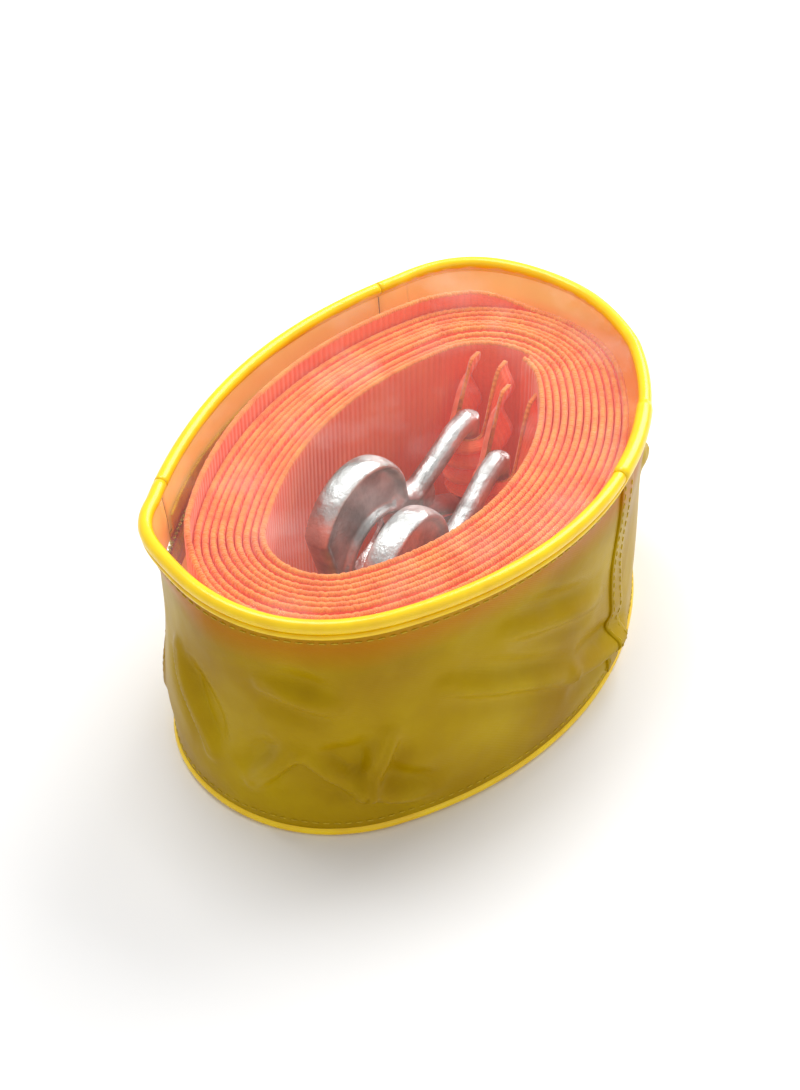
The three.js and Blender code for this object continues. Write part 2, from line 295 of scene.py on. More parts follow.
class Finish:
    """A Principled material with short calls for its textures. Bumps stack in the order they are added."""

    def __init__(self, name, roughness, metallic=0.0):
        self.material = bpy.data.materials.new(name)
        self.material.use_nodes = True
        self.tree = self.material.node_tree
        self.shader = self.tree.nodes["Principled BSDF"]
        self.shader.inputs["Roughness"].default_value = roughness
        self.shader.inputs["Metallic"].default_value = metallic
        self.places = self.tree.nodes.new("ShaderNodeTexCoord")
        self.last_bump = None

    def noise(self, scale, detail):
        node = self.tree.nodes.new("ShaderNodeTexNoise")
        node.inputs["Scale"].default_value = scale
        node.inputs["Detail"].default_value = detail
        self.tree.links.new(self.places.outputs["Object"], node.inputs["Vector"])
        return node.outputs["Fac"]

    def crumple(self, scale):
        """Soft cells of differing size, which dent a surface like crumpled coated cloth."""
        node = self.tree.nodes.new("ShaderNodeTexVoronoi")
        node.feature = "SMOOTH_F1"
        node.inputs["Scale"].default_value = scale
        node.inputs["Smoothness"].default_value = 0.25
        self.tree.links.new(self.places.outputs["Object"], node.inputs["Vector"])
        return node.outputs["Distance"]

    def wave(self, scale, direction="X", distortion=0.0, coordinates="UV"):
        node = self.tree.nodes.new("ShaderNodeTexWave")
        node.bands_direction = direction
        node.inputs["Scale"].default_value = scale
        node.inputs["Distortion"].default_value = distortion
        self.tree.links.new(self.places.outputs[coordinates], node.inputs["Vector"])
        return node.outputs["Fac"]

    def ramp(self, factor, *stops):
        node = self.tree.nodes.new("ShaderNodeValToRGB")
        elements = node.color_ramp.elements
        while len(elements) < len(stops):
            elements.new(0.5)
        for element, (position, color) in zip(elements, stops):
            element.position = position
            element.color = color
        self.tree.links.new(factor, node.inputs["Fac"])
        return node.outputs["Color"]

    def mix(self, factor, a, b):
        node = self.tree.nodes.new("ShaderNodeMix")
        node.data_type = "RGBA"
        node.blend_type = "MIX"
        for socket, value in ((node.inputs[0], factor), (node.inputs[6], a), (node.inputs[7], b)):
            if isinstance(value, bpy.types.NodeSocket):
                self.tree.links.new(value, socket)
            else:
                socket.default_value = value
        return node.outputs[2]

    def height(self):
        """The object's height, 0 at its base and 1 at 0.1 m."""
        split = self.tree.nodes.new("ShaderNodeSeparateXYZ")
        self.tree.links.new(self.places.outputs["Object"], split.inputs[0])
        scale = self.tree.nodes.new("ShaderNodeMath")
        scale.operation = "MULTIPLY"
        scale.inputs[1].default_value = 10.0
        self.tree.links.new(split.outputs["Z"], scale.inputs[0])
        return scale.outputs[0]

    def bump(self, factor, distance, strength):
        node = self.tree.nodes.new("ShaderNodeBump")
        node.inputs["Strength"].default_value = strength
        node.inputs["Distance"].default_value = distance
        self.tree.links.new(factor, node.inputs["Height"])
        if self.last_bump:
            self.tree.links.new(self.last_bump, node.inputs["Normal"])
        self.last_bump = node.outputs["Normal"]
        self.tree.links.new(self.last_bump, self.shader.inputs["Normal"])

    def to(self, socket, name):
        self.tree.links.new(socket, self.shader.inputs[name])


# Emission that stands in for light coming through thin cloth and webbing.
LINING_GLOW = 0.28
WEBBING_GLOW = 0.16


def cloth_finish():
    f = Finish("pouch_cloth_finish", 0.36)
    tone = f.ramp(f.noise(28, 4), (0.3, linear(160, 122, 0)), (0.7, linear(186, 154, 0)))
    # Painted light: an orange band in the base colour from 70 mm up to the rim, strongest at 79 mm. It
    # stands in for the strap's light showing through the thin cloth.
    painted_glow_band = f.ramp(
        f.height(), (0.7, (0, 0, 0, 1)), (0.79, (0.5, 0.5, 0.5, 1)), (0.83, (0.2, 0.2, 0.2, 1))
    )
    f.to(f.mix(painted_glow_band, tone, linear(196, 96, 0)), "Base Color")
    f.shader.inputs["Sheen Weight"].default_value = 0.0
    f.shader.inputs["Specular IOR Level"].default_value = 0.1
    f.bump(f.crumple(34), 0.0022, 0.55)
    f.bump(f.crumple(75), 0.0009, 0.4)
    f.bump(f.noise(60, 5), 0.0012, 0.35)
    f.bump(f.wave(900, "DIAGONAL", 1.0, "Object"), 0.00008, 0.3)
    return f.material


def lining_finish():
    """The cloth's inner side, lit through from outside."""
    f = Finish("pouch_lining_finish", 0.5)
    f.to(f.ramp(f.noise(30, 4), (0.3, linear(230, 176, 70)), (0.7, linear(248, 214, 120))), "Base Color")
    f.shader.inputs["Emission Color"].default_value = linear(238, 178, 92)
    f.shader.inputs["Emission Strength"].default_value = LINING_GLOW
    f.bump(f.crumple(60), 0.001, 0.4)
    return f.material


def piping_finish():
    f = Finish("piping_finish", 0.28)
    f.to(f.ramp(f.noise(120, 2), (0.3, linear(246, 200, 0)), (0.7, linear(255, 216, 0))), "Base Color")
    f.shader.inputs["Coat Weight"].default_value = 0.12
    f.bump(f.noise(420, 3), 0.0002, 0.4)
    return f.material


def film_finish():
    f = Finish("clear_film_finish", 0.07)
    f.shader.inputs["Base Color"].default_value = (0.95, 0.95, 0.93, 1)
    # Partly the film's own faint haze and partly painted highlight: the alpha follows noise, so patches of
    # the white base colour stand in for glare on the film.
    f.to(f.ramp(f.noise(45, 5), (0.5, (0.02, 0.02, 0.02, 1)), (0.8, (0.07, 0.07, 0.07, 1))), "Alpha")
    f.bump(f.noise(38, 3), 0.0022, 0.6)
    return f.material


def webbing_face_finish():
    f = Finish("webbing_face_finish", 0.8)
    tone = f.ramp(f.noise(70, 4), (0.3, linear(242, 94, 54)), (0.7, linear(248, 122, 74)))
    ribs = f.wave(125, "X", 0.6)
    yarns = f.wave(420, "Y", 0.8)
    shade = f.ramp(ribs, (0, (0.1, 0.1, 0.1, 1)), (0.4, (0, 0, 0, 1)))
    f.to(f.mix(shade, tone, linear(190, 60, 50)), "Base Color")
    f.shader.inputs["Sheen Weight"].default_value = 0.3
    f.shader.inputs["Emission Color"].default_value = linear(226, 84, 54)
    f.shader.inputs["Emission Strength"].default_value = WEBBING_GLOW
    f.bump(ribs, 0.0004, 0.6)
    f.bump(yarns, 0.0002, 0.5)
    return f.material


def webbing_edge_finish():
    f = Finish("webbing_edge_finish", 0.85)
    tone = f.ramp(f.noise(160, 5), (0.3, linear(234, 108, 40)), (0.7, linear(244, 148, 62)))
    f.to(tone, "Base Color")
    f.shader.inputs["Sheen Weight"].default_value = 0.35
    f.bump(f.wave(340, "X", 2.0), 0.0003, 0.55)
    f.bump(f.noise(1500, 3), 0.0003, 0.5)
    return f.material


def steel_finish():
    f = Finish("galvanised_finish", 0.3, 1.0)
    f.to(f.ramp(f.noise(90, 5), (0.3, linear(158, 160, 158)), (0.7, linear(236, 238, 236))), "Base Color")
    f.to(f.ramp(f.noise(160, 4), (0.3, (0.34, 0.34, 0.34, 1)), (0.7, (0.58, 0.58, 0.58, 1))), "Roughness")
    f.bump(f.noise(240, 5), 0.0012, 0.6)
    f.bump(f.noise(1500, 3), 0.0002, 0.6)
    return f.material


def brass_finish():
    f = Finish("zip_metal_finish", 0.3, 1.0)
    f.to(f.ramp(f.noise(200, 3), (0.3, linear(176, 142, 60)), (0.7, linear(216, 184, 96))), "Base Color")
    f.bump(f.noise(900, 3), 0.0001, 0.4)
    return f.material


def tape_finish():
    f = Finish("zip_tape_finish", 0.75)
    f.to(f.ramp(f.noise(220, 3), (0.3, linear(196, 160, 16)), (0.7, linear(224, 192, 30))), "Base Color")
    f.bump(f.wave(300, "X", 0.5), 0.0003, 0.7)
    return f.material


def thread_finish():
    f = Finish("thread_finish", 0.6)
    f.to(f.ramp(f.noise(800, 2), (0.3, linear(178, 146, 10)), (0.7, linear(212, 182, 18))), "Base Color")
    f.bump(f.noise(2500, 2), 0.0001, 0.5)
    return f.material


CLOTH_FINISH = cloth_finish()
LINING_FINISH = lining_finish()
PIPING_FINISH = piping_finish()
FILM_FINISH = film_finish()
FACE_FINISH = webbing_face_finish()
EDGE_FINISH = webbing_edge_finish()
STEEL_FINISH = steel_finish()
BRASS_FINISH = brass_finish()
TAPE_FINISH = tape_finish()
THREAD_FINISH = thread_finish()

# The cloth wall. Each crease runs between two places, given as the outline's normal and a height.
CREASES = [
    ((203, 34), (222, 20), 1.6), ((222, 20), (230, 42), 1.3), ((222, 20), (238, 9), 1.4),
    ((240, 54), (263, 26), 1.5), ((250, 64), (270, 46), 1.2), ((263, 26), (282, 12), 1.4),
    ((184, 18), (199, 36), 1.3), ((190, 62), (214, 56), 1.0), ((150, 54), (166, 22), 1.3),
    ((298, 56), (322, 40), 1.4), ((300, 24), (326, 14), 1.2), ((345, 60), (10, 30), 1.5),
    ((20, 24), (44, 44), 1.3), ((80, 16), (102, 34), 1.2), ((108, 44), (124, 20), 1.1),
]
CREASE_WIDTH = 2.2
DEEPEST = 2.4  # the furthest the cloth goes in, which keeps it clear of the strap
WALL_STEP = 1.2


def crease_depth(point):
    """How far a place on the wall stands out: a ridge along each crease with a hollow beside it."""
    total = 0.0
    for (a0, z0), (a1, z1), depth in CREASES:
        start = np.array([*outline(a0, WALL_INSET), z0])
        end = np.array([*outline(a1, WALL_INSET), z1])
        span = end - start
        t = np.clip(np.dot(point - start, span) / np.dot(span, span), 0, 1)
        d = np.linalg.norm(point - start - t * span) - 1.2
        total += 2.6 * depth * math.exp(-((d / CREASE_WIDTH) ** 2)) * (0.4 + 0.6 * math.sin(math.pi * t))
        total -= 2.0 * depth * math.exp(-(((d - 5.5) / 4.0) ** 2)) * math.sin(math.pi * t)
    return total


def wall_point(degrees, z):
    """The middle of the cloth at that normal and height."""
    flat = np.array([*outline(degrees, WALL_INSET), z])
    calm = ease((z - WALL_LOW) / 14) * ease((WALL_HIGH - z) / 12)
    quiet_zip = 1 - 0.9 * ease((36 - abs((degrees - 90 + 180) % 360 - 180)) / 6) * ease((z - 50) / 8)
    a = math.radians(degrees)
    swell = 0.9 * math.sin(3 * a + 0.05 * z) + 0.6 * math.sin(7 * a - 0.11 * z + 1)
    swell += 3.0 * bump(degrees, -44, 13) * ease((z - 46) / 10)
    out = lean(degrees) * ease((z - LEAN_FROM) / (PIPING_Z - LEAN_FROM))
    out += max(-DEEPEST, calm * quiet_zip * (swell + crease_depth(flat)))
    direction = np.array([math.cos(a), math.sin(a), 0])
    return flat + out * direction


def wall_piece(name, start, end, low, high, nodes, body):
    """The wall between two normals and two heights, cloth outside and lining inside.

    Its flat length is measured along its own middle row.
    """
    nu = max(8, int(abs(end - start) * 1.2))
    nv = max(6, int((high - low) / WALL_STEP))
    angles = [start + (end - start) * i / (nu - 1) for i in range(nu)]
    heights = [low + (high - low) * j / (nv - 1) for j in range(nv)]
    grid = np.array([[wall_point(a, z) for z in heights] for a in angles])
    obj = shell(name, grid, CLOTH, back_slot=1)
    place(obj, body, "pouch_cloth", nodes, CLOTH_FINISH, LINING_FINISH)


def rim_path(start, end, inset, z, step=0.6):
    """A line round the oval between two normals, with the rim's lean and a slight rise and fall."""
    count = max(2, int(abs(end - start) / step) + 1)
    path = []
    for i in range(count):
        degrees = start + (end - start) * i / (count - 1)
        x, y = outline(degrees, inset)
        out = lean(degrees) * ease((z - LEAN_FROM) / (PIPING_Z - LEAN_FROM))
        a = math.radians(degrees)
        path.append((x + out * math.cos(a), y + out * math.sin(a), z + 0.25 * math.sin(5 * a)))
    return path


RIDGE_INSET = 0.9
RIDGE_DROP = 1.2
RIDGE_RADIUS = 0.95


def piping(name, start, end, nodes, body):
    """The rim's round piping with the narrow sewn ridge below it."""
    cord = tube(rim_path(start, end, PIPING_INSET, PIPING_Z), PIPING_RADIUS, 16)
    ridge = tube(rim_path(start, end, RIDGE_INSET, WALL_HIGH - RIDGE_DROP), RIDGE_RADIUS, 10)
    obj = mesh_object(name, *gather([cord, ridge]))
    place(obj, body, "piping", nodes, PIPING_FINISH)


STITCH = 2.2
STITCH_GAP = 1.2
THREAD = 0.22


def stitches(name, path, body):
    """Short threads that follow a path."""
    path = np.asarray(path, float)
    along = np.concatenate([[0], np.cumsum(np.linalg.norm(np.diff(path, axis=0), axis=1))])
    parts = []
    s = STITCH_GAP
    while s + STITCH < along[-1]:
        places = np.linspace(s, s + STITCH, 5)
        thread = np.stack([np.interp(places, along, path[:, k]) for k in range(3)], axis=1)
        parts.append(tube(thread, [0.4 * THREAD, THREAD, THREAD, THREAD, 0.4 * THREAD], 6))
        s += STITCH + STITCH_GAP
    obj = mesh_object(name, *gather(parts))
    place(obj, body, "pouch_cloth", [], THREAD_FINISH)


ZIP_CLEAR = 4.6  # from the zip's middle to the cloth's edge above and below it
PATCH_DROP = 2.2  # from the end patches' lower edge down to the zip's middle
PATCH_GAP = 0.15  # between the patches and the flap, in degrees; the piping parts by less
PIPING_GAP = 0.03
SLEEVE_RADIUS = 2.75
SLEEVE_END_RADIUS = 2.45
LOWER_PIPING = (1.7, 1.9)  # inset and height
LOWER_PIPING_RADIUS = 1.6


def make_pouch():
    """The cloth wall in its pieces, the piping, its sleeve and the base."""
    back_low, back_high = 90 - ZIP_END, 90 + ZIP_END
    flap_low, flap_high = 90 - FLAP_END, 90 + FLAP_END
    patch = ZIP_Z + PATCH_DROP
    for name, start, end, low, high, node in (
        ("wall_cloth_front", back_high, 360 + SEAM_NORMAL, WALL_LOW, WALL_HIGH, "wall_front"),
        ("wall_cloth_end", SEAM_NORMAL, back_low, WALL_LOW, WALL_HIGH, "wall_end"),
        ("wall_cloth_rear", back_low, back_high, WALL_LOW, ZIP_Z - ZIP_CLEAR, "wall_rear_lower"),
        ("zip_patch_right", back_low, flap_low - PATCH_GAP, patch, WALL_HIGH, "zip_end_patch_right"),
        ("zip_patch_left", flap_high + PATCH_GAP, back_high, patch, WALL_HIGH, "zip_end_patch_left"),
    ):
        wall_piece(name, start, end, low, high, [node], "pouch")
    wall_piece("rear_band_cloth", flap_low, flap_high, ZIP_Z + ZIP_CLEAR, WALL_HIGH, ["rear_band"], "flap")
    piping("rim_piping", flap_high + PIPING_GAP, 360 + flap_low - PIPING_GAP, ["top_piping"], "pouch")
    piping("rim_piping_rear", flap_low + PIPING_GAP, flap_high - PIPING_GAP, ["top_piping_rear"], "flap")
    sleeve_path = rim_path(*SLEEVE, PIPING_INSET, PIPING_Z, 1.0)
    radii = [SLEEVE_RADIUS] * len(sleeve_path)
    radii[0] = radii[-1] = SLEEVE_END_RADIUS
    obj = mesh_object("rim_sleeve", *tube(sleeve_path, radii, 16))
    place(obj, "pouch", "piping", ["piping_sleeve"], PIPING_FINISH)
    lower = mesh_object("lower_piping", *tube(rim_path(2, 361.6, *LOWER_PIPING), LOWER_PIPING_RADIUS, 14))
    place(lower, "pouch", "piping", ["bottom_piping"], PIPING_FINISH)
    refined("bottom_panel", "base_cloth", "pouch_cloth", "pouch", CLOTH_FINISH, 0.3)


SEAM_HALF = 2.2  # half the side seam strip's width, in degrees
SEAM_ROW = 1.3  # each row of stitches from the strip's middle, in degrees
RIM_ROW = 81.0
HEM_ROW = 5.6


def make_seams():
    """The side seam strip with its two rows of stitches, and the rows under the rim and at the base."""
    grid = np.array([
        [wall_point(SEAM_NORMAL + d, z) + 0.75 * radial(SEAM_NORMAL + d) for z in np.linspace(4, 84, 50)]
        for d in np.linspace(-SEAM_HALF, SEAM_HALF, 7)
    ])
    obj = shell("side_seam", grid, 0.6)
    place(obj, "pouch", "pouch_cloth", ["side_seam_strip"], CLOTH_FINISH)
    heights = np.linspace(5, 83, 60)
    for side, offset in (("a", -SEAM_ROW), ("b", SEAM_ROW)):
        path = []
        for z in heights:
            angle = SEAM_NORMAL + offset + 0.12 * math.sin(0.5 * z)
            path.append(wall_point(angle, z) + 1.15 * radial(angle))
        stitches(f"side_stitches_{side}", path, "pouch")
    for name, start, end, z, body in (
        ("rim_stitches", 90.9 + FLAP_END, 449 - FLAP_END, RIM_ROW, "pouch"),
        ("rim_stitches_rear", 91 - FLAP_END, 89 + FLAP_END, RIM_ROW, "flap"),
        ("base_stitches", 0, 360, HEM_ROW, "pouch"),
    ):
        stitches(name, [wall_point(a, z) + 0.5 * radial(a) for a in np.arange(start, end, 1.5)], body)


def radial(degrees):
    """The outward direction at that normal."""
    a = math.radians(degrees)
    return np.array([math.cos(a), math.sin(a), 0.0])


WINDOW_INSET = 2.6


def window_edge(degrees):
    """The window's edge, where it goes under the rim's piping."""
    return outline(degrees, WINDOW_INSET) + lean(degrees) * radial(degrees)[:2]


def make_film():
    """The clear window: rings from its middle out to the rim, slightly slack and puckered at its seam."""
    rings, spokes = 34, 240
    grid = np.zeros((spokes + 1, rings, 3))
    for i in range(spokes + 1):
        degrees = 360 * i / spokes
        edge = window_edge(degrees)
        for j in range(rings):
            share = (j / (rings - 1)) ** 0.8
            x, y = edge * share
            depth = 1 - share
            ripple = math.sin(math.radians(degrees) * 47 + 2 * math.sin(degrees / 9))
            pucker = 0.45 * math.exp(-depth * 16) * ripple
            slack = -0.5 * ease(depth * 3) + 0.25 * math.sin(0.07 * x + 1) * math.sin(0.09 * y)
            grid[i, j] = (x, y, FILM_Z + pucker * ease(1 - depth * 4) + slack)
    grid[-1] = grid[0]
    obj = shell("window", grid, 0.35)
    bm = bmesh.new()
    bm.from_mesh(obj.data)
    bmesh.ops.remove_doubles(bm, verts=bm.verts, dist=2e-6)
    bmesh.ops.delete(bm, geom=[e for e in bm.edges if not e.link_faces], context="EDGES")
    bm.to_mesh(obj.data)
    bm.free()
    place(obj, None, "clear_film", ["window_film", "window_film_rear"], FILM_FINISH)
    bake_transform(obj)


# The strap.
def strap_height(t, layer, degrees):
    """How far a place on the coil stands above the common height, t turns in."""
    away = (degrees - 80 + 180) % 360 - 180
    proud = 5.2 * ease((80 - abs(away)) / 35) * ease((1.15 - t) / 0.2) * (layer == 0)
    return proud + 0.5 * math.sin(2.3 * t + 1.7 * layer) + 0.35 * math.sin(9.1 * t + layer)


def strap_line():
    """Both strands' middle line, from one hook's end out to the bight and back to the other's."""
    step = 0.35
    angles = np.arange(360 * TURNS, 0, -step)
    line = []

    def add(turned, layer, extra=0.0, ahead=0.0):
        t = turned / 360
        degrees = COIL_START + turned
        inset = COIL_INSET + PITCH * (2 * t + layer) + WEB_THICK / 2 + extra
        a = math.radians(degrees)
        x, y = outline(degrees, inset) + ahead * np.array([math.sin(a), -math.cos(a)])
        line.append((x, y, strap_height(t, layer, degrees)))

    for turned in angles:
        add(turned, 0)
    for turn in np.linspace(0, math.pi, 9):
        add(0, 0.5, -PITCH / 2 * math.cos(turn), PITCH / 2 * math.sin(turn))
    for turned in angles[::-1]:
        add(turned, 1)
    return np.array(line)


def make_strap():
    """The webbing on edge along its line. Its flat length is that line's own length in plan."""
    line = strap_line()
    rows = np.array([0, 0.8, 18, 37, 56, 72, 74.2, WEB_WIDTH])
    grid = np.zeros((len(line), len(rows), 3))
    tangent = np.gradient(line[:, :2], axis=0)
    tangent /= np.linalg.norm(tangent, axis=1, keepdims=True)
    side = np.stack([-tangent[:, 1], tangent[:, 0]], axis=1)
    run = np.concatenate([[0], np.cumsum(np.linalg.norm(np.diff(line[:, :2], axis=0), axis=1))])
    for j, height in enumerate(rows):
        top = ease((height - 70) / 5)
        fray = top * (0.1 * np.sin(run * 2.9) + 0.05 * np.sin(run * 1.31))
        grid[:, j, :2] = line[:, :2] + side * fray[:, None]
        grid[:, j, 2] = WEB_LOW + height + line[:, 2] + top * 0.1 * np.sin(run * 2.1)
    thickness = np.array([1.3, 1.9, 2.0, 2.0, 2.0, 2.1, 1.9, 1.1])
    obj = shell("strap", grid, thickness, rim_slot=1)
    place(obj, "pouch", "webbing", ["strap_webbing"], FACE_FINISH, EDGE_FINISH)


LOOP_RADIUS = 6.4  # the turn about the hook's crossbar
LOOP_REACH = 16.0  # each leg, from the turn to the strap
LOOP_STEPS = 18
LOOP_TIGHT_HALF = 11.6  # half the band's height at the crossbar
LOOP_WIDE_HALF = 33.5  # and at the strap
LOOP_THICK = 1.5


def make_end_loop(number, flare_top):
    """The gathered end: a pleated band that narrows to pass round the hook's crossbar."""
    low, high = corners(f"end_loop_{number}")
    x = low[0] + (high[1] - low[1]) / 2
    y, z = (low[1:] + high[1:]) / 2
    plan = [
        (x + LOOP_REACH * (1 - i / LOOP_STEPS), y + LOOP_RADIUS, 0.0, 1.0, i / LOOP_STEPS)
        for i in range(LOOP_STEPS)
    ]
    plan += [
        (x + LOOP_RADIUS * math.cos(a), y + LOOP_RADIUS * math.sin(a), math.cos(a), math.sin(a), 1.0)
        for a in np.linspace(math.pi / 2, 1.5 * math.pi, 19)
    ]
    plan += [
        (x + LOOP_REACH * i / LOOP_STEPS, y - LOOP_RADIUS, 0.0, -1.0, 1 - i / LOOP_STEPS)
        for i in range(1, LOOP_STEPS + 1)
    ]
    rows = np.linspace(-1, 1, 110)
    grid = np.zeros((len(plan), len(rows), 3))
    for i, (px, py, ox, oy, tight) in enumerate(plan):
        narrow = ease(1.35 * tight - 0.35)
        half = LOOP_TIGHT_HALF * narrow + LOOP_WIDE_HALF * (1 - narrow)
        centre = z * narrow + (flare_top - LOOP_WIDE_HALF) * (1 - narrow)
        for j, v in enumerate(rows):
            pleat = (2.1 - 0.3 * narrow) * (1 - 0.5 * v**6) * math.sin(v * 11 + 0.5 * math.sin(i * 0.35))
            grid[i, j] = (px + pleat * ox, py + pleat * oy, centre + half * v)
    obj = shell(f"strap_end_{number}", grid, LOOP_THICK, rim_slot=1)
    place(obj, "pouch", "webbing", [f"end_loop_{number}"], FACE_FINISH, EDGE_FINISH)


# Hooks. The outline is in the hook's own frame: crossbar at the origin, bowl towards -X, back up.
HOOK_THICK = 10.0
BOWL = (-62.0, 12.0, 22.5)
THROAT = (-55.0, -4.0, 13.5)
CLAW_OUTER = 22.0
CLAW_TIP = (17.7, 262, 4.2)  # its middle's distance and angle from the throat's, and its radius
FLANGE = 1.8  # half the width of the raised rim round the forging's web
WEB_HALF = 2.0
PIVOT = (-37.0, -9.0)
EYE_TOP = [(-36, 3.5), (-30, 5.0), (-20, 9.0), (-8, 15.4), (0, 17.0)]
SHANK = [(-44, 0.5), (-38, 0.5), (-32, 0.2), (-26, 0.0), (-23, 0.0)]
SHOULDER = [(-46, 9.0), (-40, 7.5), (-35, 5.6), (-31, 5.0)]
CROSSBAR_HALF = 18
CROSSBAR_RADIUS = 4.0
FORGE_VOXEL = 0.00045
SPRING_WIRE = 0.28
SPRING_TURNS = 2.2
SPRING_LENGTH = 1.1
SPRING_RADIUS = 3.15


def arc(circle, start, end, count):
    """Points on a circle, given as its middle and radius, between two angles."""
    x, y, r = circle
    return [
        (x + r * math.cos(math.radians(a)), y + r * math.sin(math.radians(a)))
        for a in np.linspace(start, end, count)
    ]


def hook_outline():
    """The forging's side view without its eye."""
    claw = (THROAT[0], THROAT[1], CLAW_OUTER)
    away, angle, radius = CLAW_TIP[0], math.radians(CLAW_TIP[1]), CLAW_TIP[2]
    tip = (THROAT[0] + away * math.cos(angle), THROAT[1] + away * math.sin(angle), radius)
    points = [(-30, 6.2), (-34, 7.4), (-39, 10.5)]
    points += arc(BOWL, 8, 168, 40)
    points += arc(claw, 186, 258, 18)
    points += arc(tip, 270, 420, 10)
    points += arc(THROAT, 258, 12, 40)
    points += [(-41, -5.5), (-36, -6.2), (-30, -6.2)]
    return np.array(points)


def inset_path(points, distance):
    """A closed outline moved to its own left by distance."""
    tangent = np.roll(points, -1, axis=0) - np.roll(points, 1, axis=0)
    tangent /= np.maximum(np.linalg.norm(tangent, axis=1, keepdims=True), 1e-9)
    normal = np.stack([-tangent[:, 1], tangent[:, 0]], axis=1)
    return points + distance * normal


def prism(points, half):
    """A flat plate with that outline."""
    count = len(points)
    verts = [(x, y, -half) for x, y in points] + [(x, y, half) for x, y in points]
    faces = [(i, (i + 1) % count, (i + 1) % count + count, i + count) for i in range(count)]
    faces.append(tuple(range(count))[::-1])
    faces.append(tuple(range(count, 2 * count)))
    return verts, faces


def oval_tube(path, across, half):
    """A ridge along a flat path, as deep as half each way in thickness."""
    verts, faces = tube([(x, y, 0.0) for x, y in path], across, 14)
    return [(v[0], v[1], v[2] * half / across) for v in verts], faces


def make_hook(number, yaw):
    """One forging, fused from its plate, rim, eye and crossbar, with its latch, rivet and spring."""
    points = hook_outline()
    inner = inset_path(points, FLANGE)
    ridge = np.concatenate([inner, inner[:1]])
    eye_low = [(x, -y) for x, y in EYE_TOP]
    parts = [
        prism(inset_path(points, 1.0), WEB_HALF),
        oval_tube(ridge, FLANGE, HOOK_THICK / 2),
        oval_tube(smooth_line(EYE_TOP), 3.6, 4.0),
        oval_tube(smooth_line(eye_low), 3.6, 4.0),
        oval_tube(SHANK, 6.0, 3.6),
        oval_tube(SHOULDER, 3.6, 4.4),
        tube([(0.0, y, 0) for y in np.linspace(-CROSSBAR_HALF, CROSSBAR_HALF, 16)], CROSSBAR_RADIUS, 18),
        tube([(PIVOT[0], PIVOT[1], z) for z in np.linspace(-4, 4, 5)], 4.5, 20),
    ]
    obj = mesh_object(f"forged_hook_{number}", *gather(parts))
    remesh = obj.modifiers.new("Forge", "REMESH")
    remesh.mode = "VOXEL"
    remesh.voxel_size = FORGE_VOXEL
    soften = obj.modifiers.new("Soften", "SMOOTH")
    soften.factor = 0.6
    soften.iterations = 4
    settle(obj)
    pivot = next(j for j in frame["joints"] if j["name"] == f"hook_{number}_swing")["pos_m"]
    turn = Matrix.Translation(Vector(pivot)) @ Matrix.Rotation(math.radians(yaw), 4, "Z")
    obj.data.transform(turn @ Matrix.Rotation(math.pi / 2, 4, "X"))
    obj.data.polygons.foreach_set("use_smooth", [True] * len(obj.data.polygons))
    body = ("hook_one", "hook_two")[number - 1]
    place(obj, body, "galvanised_steel", [f"hook_{number}"], STEEL_FINISH)
    latch = ("latch_one", "latch_two")[number - 1]
    refined(f"latch_{number}", f"keeper_{number}", "galvanised_steel", latch, STEEL_FINISH, 0.25)
    refined(f"latch_rivet_{number}", f"rivet_{number}", "galvanised_steel", body, STEEL_FINISH, 0.4)
    make_spring(number, body)


def smooth_line(points):
    """The same line with more points."""
    points = np.array(points, float)
    along = np.linspace(0, 1, len(points))
    places = np.linspace(0, 1, 20)
    return np.stack([np.interp(places, along, points[:, k]) for k in range(2)], axis=1)


def make_spring(number, body):
    """The latch's torsion spring: a small helix in its CAD ring's place, framed by its own axis."""
    low, high = corners(f"latch_spring_{number}")
    middle = (low + high) / 2
    joint = next(j for j in frame["joints"] if j["name"] == f"latch_{number}_open")
    axis = np.array(joint["axis"], float)
    axis /= np.linalg.norm(axis)
    across = np.cross(axis, (0.0, 0.0, 1.0))
    across /= np.linalg.norm(across)
    up = np.cross(across, axis)
    path = []
    for a in np.linspace(0, 2 * math.pi * SPRING_TURNS, 60):
        along = (a / (2 * math.pi * SPRING_TURNS) - 0.5) * SPRING_LENGTH
        offset = SPRING_RADIUS * (math.cos(a) * across + math.sin(a) * up) + along * axis
        path.append(middle + offset)
    obj = mesh_object(f"spring_{number}", *tube(path, SPRING_WIRE, 8, axis))
    place(obj, body, "galvanised_steel", [f"latch_spring_{number}"], STEEL_FINISH)


# The zip.
ROW_INSET = 1.6
TOOTH_STEP = 0.8  # in degrees
TOOTH_RISE = 1.05  # each row's middle from the zip's
ROW_END = 0.5  # the fixed row stops short of the patches by this, in degrees


def tape(name, start, end, towards, node, body):
    """A woven tape: its bare edge shows beside the teeth and the rest is sewn behind the cloth."""
    angles = np.linspace(start, end, 90)
    reach = np.linspace(TAPE_BARE, TAPE_BARE + TAPE_WIDTH, 9)
    grid = np.array([
        [(*outline(a, ROW_INSET + 1.2 * ease((r - 4.0) / 2.0)), ZIP_Z + towards * r) for r in reach]
        for a in angles
    ])
    obj = shell(name, grid, 0.5)
    place(obj, body, "zip_tape", [node], TAPE_FINISH)


